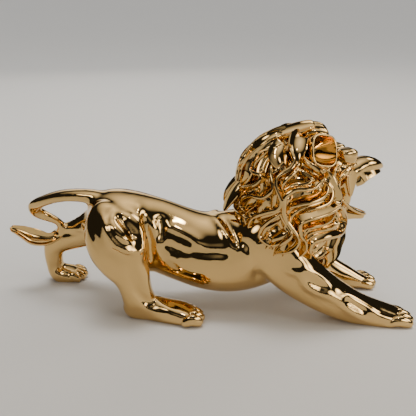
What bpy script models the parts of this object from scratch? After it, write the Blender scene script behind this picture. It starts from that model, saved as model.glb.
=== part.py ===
"""A roaring lion, stretching with its forelegs down and its head raised, cast in one piece and plated in gold.

The lion faces +X and stands on z = 0, and -Y is its near side. Its form is drawn in units of a
four-hundredth of its length, so a drawing unit is a millimetre on a lion 400 mm long.
"""

import math

import bmesh
import bpy
import numpy as np
from mathutils import Matrix, Vector

# Driving size, in metres, from the tip of the tail to the tip of the longer foreleg.
LENGTH = 0.400
UNIT = LENGTH / 400

# The sizes below are in drawing units.
SOLE_CUT = 1.2  # how much of each paw is ground away to make its flat sole
FORELEG_ROLL = 28.0  # degrees that a foreleg's top leans outwards at the shoulder
HIND_FOOT_ROLL = 24.0
PAW_ROLL_SHARE = 0.3  # the share of such a roll that is left at the paw
TOE_GAP = 1.62  # from toe to toe, as a share of a toe's half width
TOE_SPLAY = 3.0  # degrees from toe to toe

MANE_CENTRE = np.array((80.0, 1.0, 117.0))
MANE_RADII = np.array((46.0, 42.0, 61.0))
SHOULDER_SPREAD = 13.0  # how much wider the mane is low down, where it lies over the shoulders
CROWN_LEAN = math.radians(28)  # how far the crown, where the hair parts, leans forward from straight up
CORE_DEPTH = 3.0  # how far the mane's core lies under the feet of its locks

LOCK_RELIEF = 12.0  # how far a great lock's crest stands off the mane
LOCK_SINK = 6.0  # how far a lock's underside lies inside it
LOCK_CURL = 2.5  # how far its tip lifts
UNDERHAIR_SHARE = 0.45  # the underhair's relief, as a share of a great lock's
UNDERHAIR_WIDTHS = (3, 8)  # its steep side and its sloping side

HEAD_CENTRE = Vector((117.0, 3.0, 137.0))
FACE_TURN = 20.0  # degrees that the head turns to the lion's left
EAR_RADIUS = 15.5
EAR_DEPTH = 20.0
EAR_WALL = 3.4
EAR_SQUARENESS = 2.8  # the power of the ear's rounded square

SOFT_VOXEL = 2.4
SOFT_ROUNDS = 6
CRISP_VOXEL = 1.5
CRISP_ROUNDS = 1
TRIANGLES = 9500

GOLD = (0.70, 0.48, 0.21, 1.0)


def clear_scene():
    for obj in list(bpy.data.objects):
        bpy.data.objects.remove(obj)


def smooth_rows(rows, count):
    """The rows of numbers as a smooth curve through them, read at even steps."""
    rows = np.array(rows, float)
    padded = np.vstack([2 * rows[0] - rows[1], rows, 2 * rows[-1] - rows[-2]])
    t = np.linspace(0, len(rows) - 1, count)
    first = np.minimum(t.astype(int), len(rows) - 2)
    f = (t - first)[:, None]
    a, b, c, d = (padded[first + k] for k in range(4))
    return 0.5 * (2 * b + (c - a) * f + (2 * a - 5 * b + 4 * c - d) * f**2 + (3 * b - a - 3 * c + d) * f**3)


def unit(rows):
    return rows / np.maximum(np.linalg.norm(rows, axis=1, keepdims=True), 1e-9)


def swept(path, outward, section):
    """A closed bmesh along path. section[ring] holds each ring's outline, as distances to its side and outward."""
    rings, sides = section.shape[:2]
    along = unit(np.gradient(path, axis=0))
    side = unit(np.cross(outward, along))
    up = np.cross(along, side)
    bm = bmesh.new()
    line = [bm.verts.new((1, 0, ring)) for ring in range(rings)]
    edges = [bm.edges.new(pair) for pair in zip(line, line[1:])]
    turn = {"cent": (0, 0, 0), "axis": (0, 0, 1), "angle": 2 * math.pi, "steps": sides}
    bmesh.ops.spin(bm, geom=line + edges, use_merge=True, **turn)
    bmesh.ops.holes_fill(bm, edges=bm.edges[:], sides=0)
    for vert in bm.verts:
        ring = round(vert.co.z)
        corner = round(math.atan2(vert.co.y, vert.co.x) / (2 * math.pi) * sides) % sides
        across, out = section[ring, corner]
        vert.co = path[ring] + across * side[ring] + out * up[ring]
    bmesh.ops.recalc_face_normals(bm, faces=bm.faces[:])
    return bm


def round_ends(rows, curve):
    """The shares of full size along a limb or a tuft that give it rounded ends."""
    reach = np.linalg.norm(np.diff(np.array(rows, float)[:, :3], axis=0), axis=1).sum()
    cap = min(0.3, 0.5 * (rows[0][4] + rows[-1][4]) / reach)
    t = np.linspace(0, 1, len(curve))
    return np.sqrt(1 - (1 - np.clip(np.minimum(t, 1 - t) / cap, 0, 1)) ** 2 * 0.9)


def curve_through(rows, step):
    reach = np.linalg.norm(np.diff(np.array(rows, float)[:, :3], axis=0), axis=1).sum()
    return smooth_rows(rows, max(6, round(reach / step)))


def limb(rows, sides=20, step=4.0, square=2.0, roll=0.0):
    """A limb through rows of (x, y, z, half its width across Y, half its depth), with rounded ends.

    roll leans its top towards the near side, in degrees, less so towards its end.
    """
    curve = curve_through(rows, step)
    angle = np.arange(sides) * 2 * math.pi / sides
    outline = np.stack([np.cos(angle), np.sin(angle)], axis=1)
    outline = np.sign(outline) * np.abs(outline) ** (2 / square)
    sizes = curve[:, None, 3:5] * round_ends(rows, curve)[:, None, None]
    lean = np.radians(np.linspace(roll, PAW_ROLL_SHARE * roll, len(curve)))
    turn = np.stack([np.cos(lean), np.sin(lean), -np.sin(lean), np.cos(lean)], axis=1).reshape(-1, 2, 2)
    along = unit(np.gradient(curve[:, :3], axis=0))
    upward = -unit(np.cross(along, np.tile((0.0, 1.0, 0.0), (len(curve), 1))))
    return swept(curve[:, :3], upward, (outline[None] * sizes) @ turn)


def ball(centre, radii, turn=None):
    """An ellipsoid, turned by a matrix."""
    bm = bmesh.new()
    bmesh.ops.create_icosphere(bm, subdivisions=3, radius=1.0)
    place = Matrix.Translation(centre) @ (turn or Matrix()) @ Matrix.Diagonal((*radii, 1.0))
    bmesh.ops.transform(bm, matrix=place, verts=bm.verts[:])
    return bm


def pitched(degrees):
    """A turn that raises +X towards +Z."""
    return Matrix.Rotation(-math.radians(degrees), 4, "Y")


def toe(centre, size, turn):
    """A toe along X that humps at its knuckle and runs down to a blunt point, turned and put in its place."""
    shares = [(-1.1, -0.5, 0.5, 0.4), (-0.6, -0.1, 0.8, 0.7), (-0.1, 0.2, 1.0, 0.9), (0.35, 0.02, 0.98, 0.85),
              (0.75, -0.25, 0.8, 0.66), (1.0, -0.42, 0.45, 0.4)]
    rows = [(x * size[0], 0, z * size[2], wide * size[1], high * size[2]) for x, z, wide, high in shares]
    bm = limb(rows, sides=12, step=2.5)
    bmesh.ops.transform(bm, matrix=Matrix.Translation(centre) @ turn, verts=bm.verts[:])
    return bm


def paw(middle, across, size):
    """Four toes side by side round middle. across is the way from toe to toe."""
    middle, across = Vector(middle), Vector(across).normalized()
    forward = Vector((across.y, -across.x, 0))
    toes = []
    for place, lead in ((-1.5, -2.6), (-0.5, 0.8), (0.5, 1.2), (1.5, -1.8)):
        centre = middle + across * (place * size[1] * TOE_GAP) + forward * lead
        heading = math.atan2(forward.y, forward.x) + math.radians(TOE_SPLAY * place)
        toes.append(toe(centre, size, Matrix.Rotation(heading, 4, "Z")))
    return toes


def torso():
    return limb([
        (-119, 6, 96, 9, 11), (-111, 6, 96, 22, 21), (-97, 5, 94.5, 30, 28.5), (-80, 4, 89, 33, 33),
        (-57, 3, 79, 26, 37), (-37, 2, 71, 26.5, 37.5), (-17, 1, 64, 31, 38), (2, 0, 60, 34.5, 40),
        (22, 0, 60, 36, 42), (42, 0, 64, 36, 41), (62, 0, 73, 34, 39), (82, 0, 86, 29, 34), (98, 0, 100, 18, 24),
    ], sides=28)


def hind_legs():
    near = limb([
        (-84, -8, 112, 9, 14), (-88, -14, 104, 17, 24), (-89, -21, 90, 21, 28), (-86, -26, 76, 20, 28),
        (-80, -30, 62, 16, 24), (-73, -31, 47, 12.5, 18), (-69, -31, 33, 11, 16), (-67, -30, 20, 11, 15.5),
        (-66, -29, 10, 10, 14),
    ], square=2.4)
    far = limb([
        (-84, 14, 110, 10, 16), (-91, 22, 97, 16, 24), (-101, 29, 84, 16, 23), (-116, 37, 71, 14, 19),
        (-134, 44, 61, 12, 16), (-151, 49, 53.5, 11, 14.5), (-163, 52, 46, 10.5, 13), (-167.5, 54, 34, 10, 10.5),
        (-167.5, 55, 22, 9.5, 9.5), (-166, 55, 12, 9.5, 9.5), (-164, 55, 7, 9, 9),
    ], square=2.2)
    return [near, far]


def hind_feet():
    near = limb([
        (-83, -25, 10, 6, 7), (-75, -26, 11.5, 10, 11), (-58, -28, 12.5, 11, 12.5), (-43, -31, 10.5, 12, 10.5),
        (-29, -34, 9.5, 13, 9.5), (-17, -36, 7.5, 12.5, 7.5), (-12, -37, 6, 11, 6),
    ], square=3.0, roll=HIND_FOOT_ROLL)
    far = limb([
        (-174, 54, 7, 6, 6), (-167, 55, 9, 10, 9), (-156, 56, 8.5, 11.5, 8.5), (-146, 57.5, 7, 12, 7),
        (-141, 59, 5.5, 10, 5.5),
    ], square=3.0, roll=HIND_FOOT_ROLL)
    return [near, far]


def forelegs():
    near = limb([
        (46, -14, 96, 10, 14), (57, -22, 83, 16, 25), (70, -28, 66, 17, 26), (86, -31, 50, 17, 23),
        (104, -33, 36, 16, 19.5), (122, -34, 25, 15, 17), (140, -35, 16.5, 14, 14.5), (156, -36, 12, 13.5, 11.5),
        (170, -37, 9, 14, 9), (181, -37.5, 7, 13, 7), (187, -38, 5.5, 10, 5.5),
    ], square=3.2, roll=FORELEG_ROLL)
    far = limb([
        (52, 14, 94, 10, 14), (62, 22, 80, 15, 24), (76, 28, 63, 16, 23), (94, 33, 47, 15.5, 20),
        (112, 37, 33, 14, 16.5), (130, 39, 22, 13, 13.5), (146, 40, 14, 13, 11.5), (158, 41, 9, 13, 9),
        (166, 41.5, 7, 12.5, 7), (172, 42, 5.5, 9.5, 5.5),
    ], square=3.2, roll=-FORELEG_ROLL)
    return [near, far]


def tail():
    """The tail loops back on itself and ends in a hollow tuft."""
    loop = limb([
        (-84, 4, 102, 10, 9), (-104, 5, 113, 9.5, 7), (-124, 8, 115.5, 9, 6), (-146, 14, 112.5, 8.5, 5.5),
        (-165, 22, 104.5, 7, 5.5), (-177, 30, 95.5, 5, 6.5), (-175, 36, 87, 4.5, 6.5), (-165, 39, 80.5, 4.5, 5),
        (-156, 42, 74, 4, 4), (-153.5, 43, 66, 4.2, 4.2), (-159, 43, 60, 4, 4),
    ], sides=16, step=3.0, square=3.0)
    tuft = leaf([
        (-153, 43.5, 64, 4, 4.5), (-160, 42.5, 58, 4.8, 5), (-168, 40.5, 56, 5.5, 5.5), (-175, 38.5, 57, 7, 6),
        (-183, 36, 60, 8, 6), (-191, 33.5, 64.5, 6, 5), (-198, 31.5, 68.5, 4, 3.5), (-204.4, 30, 72.3, 1.8, 1.8),
    ], (0.1, -0.75, 0.6))
    return [loop, tuft]


def muscles():
    """The masses that stand proud of the body with a crease round them: shoulders, haunches and the near knee."""
    return [
        ball((47, -15, 74), (27, 26, 41), pitched(-28)),
        ball((47, 15, 74), (27, 25, 41), pitched(-28)),
        ball((-80, -31.5, 84), (28, 17.5, 15), pitched(-55)),
        ball((-68, -31, 73), (12, 14.5, 17), pitched(-30)),
        ball((-104, 31, 82), (28, 15.5, 16), pitched(35)),
    ]


def toes():
    return [
        *paw((-14.5, -37, 7.5), (-0.25, 1, 0), (9.5, 4.2, 7.2)),
        *paw((-144, 58, 6.8), (0.1, 1, 0), (9, 3.9, 6.5)),
        *paw((183.6, -37.5, 6.8), (-0.1, 1, 0), (13, 4.3, 6.6)),
        *paw((168, 42, 6.8), (0.05, 1, 0), (12, 4.1, 6.4)),
    ]


def ear(side):
    """A hollow ear with a thick rim and a squarish mouth, on the head before it turns."""
    bm = bmesh.new()
    steps = 9
    angles = [math.pi / 2 * n / (steps - 1) for n in range(steps)]
    outline = [(EAR_RADIUS * math.sin(a), -EAR_DEPTH * math.cos(a)) for a in angles]
    inner, floor = EAR_RADIUS - EAR_WALL, EAR_DEPTH - EAR_WALL
    outline += [(inner * math.sin(a), -floor * math.cos(a)) for a in angles[::-1]]
    line = [bm.verts.new((x, 0, z)) for x, z in outline]
    edges = [bm.edges.new(pair) for pair in zip(line, line[1:])]
    turn = {"cent": (0, 0, 0), "axis": (0, 0, 1), "angle": 2 * math.pi, "steps": 24}
    bmesh.ops.spin(bm, geom=line + edges, use_merge=True, **turn)
    bmesh.ops.remove_doubles(bm, verts=bm.verts[:], dist=0.01)
    bmesh.ops.recalc_face_normals(bm, faces=bm.faces[:])
    for vert in bm.verts:
        angle = math.atan2(vert.co.y, vert.co.x)
        corner = abs(math.cos(angle)) ** EAR_SQUARENESS + abs(math.sin(angle)) ** EAR_SQUARENESS
        vert.co.xy *= corner ** (-1 / EAR_SQUARENESS)
    facing = Vector((0.25, side * 0.9, 0.33)).to_track_quat("Z", "Y").to_matrix().to_4x4()
    bmesh.ops.transform(bm, matrix=Matrix.Translation((-21, side * 22, 32)) @ facing, verts=bm.verts[:])
    return bm


def both_sides(rows):
    """Rows that run forward on the near side of the face, then round its front and back on the far side."""
    return rows + [(x, -y, z, wide, high) for x, y, z, wide, high in rows[-2::-1]]


def upper_lip():
    """The lip's edge, a wedge that flares out from the snout, so that its face looks up."""
    rows = both_sides([
        (22, -12, -9, 0.8, 1.0), (27.3, -14.2, -6.6, 1, 1.15), (31.5, -14.4, -4.1, 1, 1.1), (37.5, -13.2, -2, 1, 0.95),
        (45.7, -10, -0.5, 0.85, 0.75), (52, -5.8, -0.2, 0.7, 0.6), (56, 0, -0.3, 0.6, 0.5),
    ])
    curve = curve_through(rows, 3.0)
    wedge = np.array([(0, 0), (5.5, 10.5), (9, 11), (9, -1), (3, -2.2), (0.6, -1.2)])
    return swept(curve[:, :3], np.tile((0.0, 0.0, 1.0), (len(curve), 1)), wedge[None] * curve[:, None, 3:5])


def head():
    """The roaring head, drawn looking along +X round its own centre, then turned to face the lion's left."""
    snout = [(14, 0, 1, 15, 11), (22, 0, 2.5, 12.5, 9.2), (27, 0, 4.2, 11.5, 8.7), (32, 0, 6.2, 11, 9),
             (38, 0, 7.2, 10.5, 8.7), (45, 0, 7, 9, 7.1), (50, 0, 6, 7, 5.6), (54, 0, 4.6, 4.8, 3.9), (57, 0, 3, 2.6, 2.2)]
    jaw = [(0, 0, -34, 15, 10), (13, 0, -38, 12.5, 7.5), (25, 0, -41, 10.5, 5.2), (34, 0, -43.5, 8.5, 4),
           (40, 0, -45, 6, 3)]
    lower_lip = [(5, -15.5, -20, 1.4, 1.6), (12, -13.5, -27, 1.6, 1.8), (19.3, -11.5, -32.5, 1.7, 1.8),
                 (28, -10, -37.5, 1.6, 1.6), (37, -7, -41.5, 1.5, 1.5), (41.5, 0, -43, 1.4, 1.4)]
    cheek_edge = [(3.4, 17.5, -6, 1.2, 1.2), (2.8, 19.5, 2, 1.4, 1.4), (6, 20.3, 7, 1.5, 1.5), (11, 20.2, 7.8, 1.5, 1.5),
                  (15.5, 18.8, 4.5, 1.4, 1.4), (18.4, 16.6, -2, 1.2, 1.2), (18.6, 15, -9, 0.9, 0.9)]
    shapes = [
        ball((-6, 0, 4), (27, 24, 23)),
        ball((5, 0, 15), (13, 13, 11)),
        ball((11, 0, -18), (10.5, 15, 23)),
        limb(snout, square=2.3),
        limb(jaw, sides=16, square=2.6),
        limb(both_sides(lower_lip), sides=8, step=3.0),
        upper_lip(),
    ]
    for side in (-1, 1):
        brow = [(0, side * 10, 20, 6, 5), (6, side * 10.5, 21.5, 8, 7), (13, side * 10.5, 21.5, 7.5, 7),
                (18, side * 10, 20, 6, 5)]
        shapes += [
            limb(brow, step=2.0, square=3.0),
            ball((8, side * 14, 14.5), (6.5, 4, 2.4)),
            ball((6, side * 15, 8), (8, 7, 8)),
            ball((10.5, side * 14.5, -4), (8.5, 5.5, 13)),
            ball((2, side * 17, -4), (9, 6, 13)),
            limb([(x, side * y, z, wide, high) for x, y, z, wide, high in cheek_edge], sides=8, step=3.0),
            ear(side),
        ]
    turn = Matrix.Translation(HEAD_CENTRE) @ Matrix.Rotation(math.radians(FACE_TURN), 4, "Z")
    for bm in shapes:
        bmesh.ops.transform(bm, matrix=turn, verts=bm.verts[:])
    return shapes


def on_mane(ring, depth=0.0):
    """Points of a unit sphere put on the mane, or depth under it."""
    points = MANE_CENTRE + ring * (MANE_RADII - depth)
    low = np.clip((MANE_CENTRE[2] - points[:, 2] - 5) / 35, 0, 1)
    points[:, 1] += SHOULDER_SPREAD * ring[:, 1] * low * low * (3 - 2 * low)
    return points


def mane_way(way, rings):
    """A way over the mane, in degrees down from the crown and round it from straight ahead: points and outward."""
    down, turn = np.radians(smooth_rows(way, rings)).T
    ring = np.stack([np.sin(down) * np.cos(turn), np.sin(down) * np.sin(turn), np.cos(down)], axis=-1)
    ring = ring @ np.array(Matrix.Rotation(CROWN_LEAN, 3, "Y")).T
    return on_mane(ring), unit(ring / MANE_RADII)


def lock(share, left_wide, right_wide, way):
    """A lock of hair on the mane, with a long slope up to its crest on its wide side and a steep drop on the other.

    Left and right are as seen from outside, travelling from root to tip. share is of a great lock's relief.
    """
    wide, relief = max(left_wide, right_wide), LOCK_RELIEF * share
    rings = max(12, round(len(way) * 3.0))
    path, outward = mane_way(way, rings)
    s = np.linspace(0, 1, rings)
    full = np.sin(math.pi * np.clip(s * 0.8 + 0.14, 0, 1)) ** 0.6
    full[-1] = 0.12
    path = path + outward * (LOCK_CURL * s**4 - 4.0 * np.clip(1 - s / 0.12, 0, 1))[:, None]
    along = unit(np.gradient(path, axis=0))
    to_foot = unit(np.cross(outward, along)) * (1 if left_wide > right_wide else -1)
    spacing = np.linalg.norm(np.gradient(path, axis=0), axis=1)
    bend = (np.gradient(along, axis=0) * to_foot).sum(1) / spacing
    for _ in range(3):
        bend = np.convolve(np.pad(bend, 1, "edge"), (0.25, 0.5, 0.25), "valid")
    spread = (1 + np.clip(bend * wide, 0, None) ** 3) ** (-1 / 3)  # the foot draws in where the lock turns on it
    outline = [(-wide * x, relief * (1 - x) ** 1.6) for x in (1.0, 0.7, 0.45, 0.22)]
    outline += [(-1.2, relief), (1.0, relief - 0.2), (2.3, relief - 2), (2.0, relief * 0.5), (2.6, -LOCK_SINK),
                (-wide / 2, -LOCK_SINK - 1), (-wide, -LOCK_SINK + 1)]
    outline = np.array(outline) * (1 if left_wide <= right_wide else -1, 1)
    sizes = np.stack([spread * (0.35 + 0.65 * full), full], axis=1)
    return swept(path, outward, outline[None] * sizes[:, None])


# A lock with rolled edges and a hollow between them, in shares of its half width and thickness.
LEAF_OUTLINE = np.array([
    (-1.0, 0.1), (-0.8, -0.6), (0, -1.0), (0.8, -0.6), (1.0, 0.1), (0.88, 0.5), (0.7, 0.32), (0, -0.1), (-0.7, 0.32),
    (-0.88, 0.5),
])


def leaf(rows, facing):
    """A tuft whose hollow is turned to facing, through rows of (x, y, z, half width, thickness)."""
    curve = curve_through(rows, 3.0)
    sizes = curve[:, None, 3:5] * round_ends(rows, curve)[:, None, None]
    return swept(curve[:, :3], np.tile(np.array(facing, float), (len(curve), 1)), LEAF_OUTLINE[None] * sizes)


def tress(wide, high, way):
    """A smooth hollow lock on the mane, wide and high as its half width and thickness."""
    path, outward = mane_way(way, max(12, 4 * len(way)))
    s = np.linspace(0, 1, len(path))
    full = np.sin(math.pi * (0.12 + 0.84 * s)) ** 0.7
    lift = 0.75 * high * full + LOCK_CURL * s**4 - 4.0 * np.clip(1 - s / 0.15, 0, 1)
    sizes = np.stack([wide * full, high * full], axis=1)
    return swept(path + outward * lift[:, None], outward, LEAF_OUTLINE[None] * sizes[:, None])


# The great locks of the near side: share of full relief, width on the left and on the right, and way.
GREAT_LOCKS = (
    (1.0, 4, 16, ((45, -77), (45, -70), (49, -62), (54, -56), (60, -50), (66, -49), (72, -54), (78, -63), (84, -72),
                  (89, -79), (95, -83), (100, -81), (104, -76), (107, -69), (114, -64), (122, -65), (131, -71))),
    (1.0, 4, 14, ((62, -59), (68, -43), (73, -27), (79, -17), (84, -17), (89, -22), (92, -42), (97, -55), (103, -62),
                  (109, -61), (116, -53), (126, -40))),
    (1.0, 5, 14, ((42, -120), (47, -105), (48, -96), (49, -88), (51, -82), (55, -80), (60, -83), (66, -87), (70, -94),
                  (74, -101), (79, -105), (84, -107), (89, -105), (95, -102), (99, -97), (102, -90), (105, -82),
                  (110, -77), (118, -77), (126, -82), (135, -90), (148, -94))),
    (1.0, 9, 6, ((44, -157), (47, -144), (49, -133), (52, -124), (56, -117), (62, -116), (68, -119), (74, -122),
                 (79, -121), (83, -117), (87, -111), (90, -108), (96, -109), (102, -115), (110, -123), (119, -131),
                 (128, -135), (136, -135), (140, -127), (141, -115))),
    (1.0, 10, 6, ((48, -179), (61, -177), (70, -180), (80, -186), (86, -187), (92, -183), (100, -184), (107, -185),
                  (116, -182))),
    (0.9, 9, 8, ((54, -151), (61, -155), (68, -157), (74, -157), (80, -157), (85, -153), (85, -146), (83, -139),
                 (87, -137), (94, -142), (100, -152), (108, -170), (118, -182))),
    (0.9, 6, 9, ((66, -133), (72, -134), (76, -131), (80, -125), (85, -121), (90, -122), (96, -126), (100, -134),
                 (103, -141), (109, -149), (118, -155), (121, -147), (117, -137))),
    (0.9, 8, 5, ((102, -150), (115, -166), (124, -176), (127, -167), (124, -147), (127, -140), (139, -148), (148, -146),
                 (157, -144))),
    (0.8, 9, 5, ((97, -104), (104, -108), (112, -113), (121, -117), (129, -117), (132, -110), (132, -101), (136, -96))),
    (0.8, 5, 8, ((97, -100), (102, -94), (107, -88), (112, -87), (120, -91), (128, -98), (138, -103))),
    (0.7, 3, 6, ((54, -68), (60, -67), (67, -71), (74, -79), (81, -89), (88, -97), (94, -100))),
    (0.7, 3, 6, ((74, -45), (81, -50), (87, -59), (93, -69), (99, -75), (105, -73))),
    (0.7, 4, 6, ((57, -109), (64, -111), (72, -114), (79, -114), (84, -110))),
    (0.8, 6, 6, ((34, -12), (38, -38), (47, -54), (54, -60))),
    (1.0, 5, 14, ((90, -10), (100, -4), (110, -12), (118, -26), (128, -34), (140, -30))),
)

# The smooth hollow locks between them and round the mane's edge: half width, thickness and way.
TRESSES = (
    (9, 7, ((42, -153), (51, -144), (59, -138), (64, -130), (67, -121))),
    (9, 7, ((19, -150), (29, -141), (41, -127), (48, -120), (54, -112))),
    (7, 7, ((36, -168), (48, -166), (62, -168), (75, -173), (89, -179), (101, -183), (113, -188))),
    (6, 7, ((46, -150), (55, -152), (68, -155), (80, -157), (90, -154), (99, -158), (115, -172))),
    (5, 6, ((56, -146), (63, -145), (72, -144), (81, -140), (86, -133), (95, -133), (105, -144))),
    (4, 6, ((98, -140), (105, -151), (116, -165), (124, -176))),
    (6, 6, ((100, -130), (107, -137), (121, -149), (133, -154), (142, -144), (152, -134))),
    (5, 6, ((126, -106), (132, -110), (149, -116), (160, -106))),
    (5, 6, ((108, -86), (117, -87), (129, -89), (140, -83), (148, -70))),
)


def mirrored(way):
    """The same way on the far side. Its front follows the turned face."""
    return tuple((down, FACE_TURN * (1 + math.cos(math.radians(turn))) - turn) for down, turn in way)


def mane_core():
    bm = bmesh.new()
    bmesh.ops.create_icosphere(bm, subdivisions=4, radius=1.0)
    verts = bm.verts[:]
    for vert, point in zip(verts, on_mane(np.array([vert.co for vert in verts]), CORE_DEPTH)):
        vert.co = point
    return bm


def underhair():
    """Rows of low locks that fill the mane between the great ones. They keep off the face."""
    steep, slope = UNDERHAIR_WIDTHS
    shapes = []
    for row, (root, tip, count) in enumerate(((14, 66, 9), (42, 100, 13), (72, 134, 15), (104, 164, 12))):
        for n in range(count):
            turn = 360 * (n + 0.5 * (row % 2)) / count - 180
            from_face = abs(turn - FACE_TURN)
            start = max(root, 84 - 0.4 * from_face if from_face < 66 else 50 if from_face < 125 else 0)
            if tip - start < 28:
                continue
            phase = 1.9 + 1.1 * row + 0.5 * math.sin(2.4 * n)
            way = [(start + (tip - start) * f, turn + 10 * math.sin(phase + 6 * f)) for f in np.linspace(0, 1, 6)]
            sides = (steep, slope) if turn < 0 else (slope, steep)
            shapes.append(lock(UNDERHAIR_SHARE, *sides, way))
    return shapes


def mane():
    shapes = [mane_core(), *underhair()]
    for share, left_wide, right_wide, way in GREAT_LOCKS:
        shapes.append(lock(share, left_wide, right_wide, way))
        shapes.append(lock(share, right_wide, left_wide, mirrored(way)))
    for wide, high, way in TRESSES:
        shapes += [tress(wide, high, way), tress(wide, high, mirrored(way))]
    return shapes


def free_locks():
    """The locks that leave the mane: over the crown, the forelocks, on the nape and the beard."""
    forelock = [(92, -3, 184, 6, 5), (100, -5, 185, 7, 4.5), (106, -8, 181, 6.5, 4), (106, -11, 174, 5, 3.5),
                (102, -13, 167, 2.5, 2)]
    far_forelock = [(x, 2 - y, z, wide, high) for x, y, z, wide, high in forelock]
    near_crown = [(56, -1, 172, 4, 4), (66, -3, 178.5, 7, 5), (76, -4, 182, 8, 5), (86, -5, 185, 8, 5),
                  (94, -6, 187.5, 6.5, 4.5), (98, -6.5, 188, 3, 3)]
    far_crown = [(50, 8, 170, 5, 5), (62, 9, 178, 9, 6), (76, 9, 182, 9, 6), (90, 9, 184, 5, 4)]
    near_nape = [(38, -10, 138, 5, 5), (28, -13, 128, 6, 5), (20, -14, 117, 4.5, 4), (15, -14, 107, 1.5, 1.5)]
    far_nape = [(38, 12, 138, 5, 5), (28, 14, 128, 6, 5), (20, 14, 117, 4.5, 4), (16, 13, 107, 1.5, 1.5)]
    beard = [(116, -6, 94, 8, 7), (124, -10, 80, 13, 8), (123, -13, 67, 12, 8), (118, -14, 56, 7, 6),
             (113, -15, 46, 1.5, 1.5)]
    return [
        limb(forelock, sides=14, step=3, square=3.0),
        limb(far_forelock, sides=14, step=3, square=3.0),
        leaf(near_crown, (0.0, -0.45, 0.9)),
        leaf(far_crown, (0.0, 0.3, 0.95)),
        leaf(near_nape, (-0.4, -0.7, 0.6)),
        leaf(far_nape, (-0.4, 0.7, 0.6)),
        leaf(beard, (0.5, -0.85, 0.1)),
    ]


def joined(name, shapes):
    """One mesh object that holds every shape at its real size, still as separate shells."""
    whole = bmesh.new()
    for bm in shapes:
        bmesh.ops.scale(bm, verts=bm.verts[:], vec=(UNIT, UNIT, UNIT))
        piece = bpy.data.meshes.new(name)
        bm.to_mesh(piece)
        bm.free()
        whole.from_mesh(piece)
        bpy.data.meshes.remove(piece)
    mesh = bpy.data.meshes.new(name)
    whole.to_mesh(mesh)
    whole.free()
    return placed(name, mesh)


def baked(obj, name):
    """A mesh of obj as its modifiers leave it. obj itself is removed."""
    graph = bpy.context.evaluated_depsgraph_get()
    mesh = bpy.data.meshes.new_from_object(obj.evaluated_get(graph))
    mesh.name = name
    bpy.data.objects.remove(obj)
    return mesh


def placed(name, mesh):
    obj = bpy.data.objects.new(name, mesh)
    bpy.context.scene.collection.objects.link(obj)
    return obj


def fused(obj, voxel, rounds):
    """obj's shells run together into one skin, with the joins between them eased."""
    remesh = obj.modifiers.new("Fuse", "REMESH")
    remesh.mode = "VOXEL"
    remesh.voxel_size = voxel * UNIT
    ease = obj.modifiers.new("Ease", "SMOOTH")
    ease.factor = 0.5
    ease.iterations = rounds
    return baked(obj, obj.name)


def reduced(mesh, triangles):
    """mesh with its flatter faces run together, down to about this many triangles."""
    obj = placed("lion", mesh)
    fewer = obj.modifiers.new("Fewer", "DECIMATE")
    fewer.ratio = min(1.0, triangles / sum(len(face.vertices) - 2 for face in mesh.polygons))
    return baked(obj, "lion")


def ground_soles(bm):
    """Cuts the paws off flat at the ground."""
    everything = bm.verts[:] + bm.edges[:] + bm.faces[:]
    ground = (0, 0, SOLE_CUT * UNIT)
    bmesh.ops.bisect_plane(bm, geom=everything, plane_co=ground, plane_no=(0, 0, 1), clear_inner=True)
    bmesh.ops.holes_fill(bm, edges=bm.edges[:], sides=0)
    bmesh.ops.triangulate(bm, faces=bm.faces[:])


def centre_on_origin(bm):
    """Puts the middle of the lion's footprint at the origin and its soles on z = 0."""
    points = np.array([vert.co for vert in bm.verts])
    low, high = points.min(axis=0), points.max(axis=0)
    middle = (low + high) / 2
    bmesh.ops.translate(bm, verts=bm.verts[:], vec=(-middle[0], -middle[1], -low[2]))


def gold():
    material = bpy.data.materials.new("gold plating")
    material.use_nodes = True
    shader = material.node_tree.nodes["Principled BSDF"]
    shader.inputs["Base Color"].default_value = GOLD
    shader.inputs["Metallic"].default_value = 1.0
    shader.inputs["Roughness"].default_value = 0.06
    return material


def build():
    soft = fused(joined("soft", [torso(), *hind_legs()]), SOFT_VOXEL, SOFT_ROUNDS)
    crisp = joined("lion", [*forelegs(), *hind_feet(), *toes(), *tail(), *muscles(), *head(), *mane(), *free_locks()])
    bm = bmesh.new()
    bm.from_mesh(crisp.data)
    bm.from_mesh(soft)
    bm.to_mesh(crisp.data)
    bm.free()
    mesh = reduced(fused(crisp, CRISP_VOXEL, CRISP_ROUNDS), TRIANGLES)
    bm = bmesh.new()
    bm.from_mesh(mesh)
    ground_soles(bm)
    centre_on_origin(bm)
    bm.to_mesh(mesh)
    bm.free()
    mesh.shade_smooth()
    mesh.set_sharp_from_angle(angle=math.radians(50))
    mesh.materials.append(gold())
    return placed("lion", mesh)


if __name__ == "__main__":
    clear_scene()
    build()
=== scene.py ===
import math

import bmesh
import bpy
import numpy as np
from mathutils import Matrix, Vector


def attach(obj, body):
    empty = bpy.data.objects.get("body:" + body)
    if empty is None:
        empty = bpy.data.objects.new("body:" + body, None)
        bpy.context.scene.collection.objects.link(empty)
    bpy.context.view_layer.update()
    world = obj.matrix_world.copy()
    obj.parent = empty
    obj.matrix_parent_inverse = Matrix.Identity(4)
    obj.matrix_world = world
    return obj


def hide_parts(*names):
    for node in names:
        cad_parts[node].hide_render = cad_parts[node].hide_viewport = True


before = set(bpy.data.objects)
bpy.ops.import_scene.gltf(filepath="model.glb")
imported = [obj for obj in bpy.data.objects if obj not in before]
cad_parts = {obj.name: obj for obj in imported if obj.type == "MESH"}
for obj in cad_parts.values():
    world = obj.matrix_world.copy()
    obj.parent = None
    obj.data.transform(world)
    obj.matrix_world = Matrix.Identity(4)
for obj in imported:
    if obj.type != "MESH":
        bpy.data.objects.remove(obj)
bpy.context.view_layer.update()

# The lion is drawn in millimetres, facing +X, and its near side is -Y.
mm = 0.001
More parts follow.
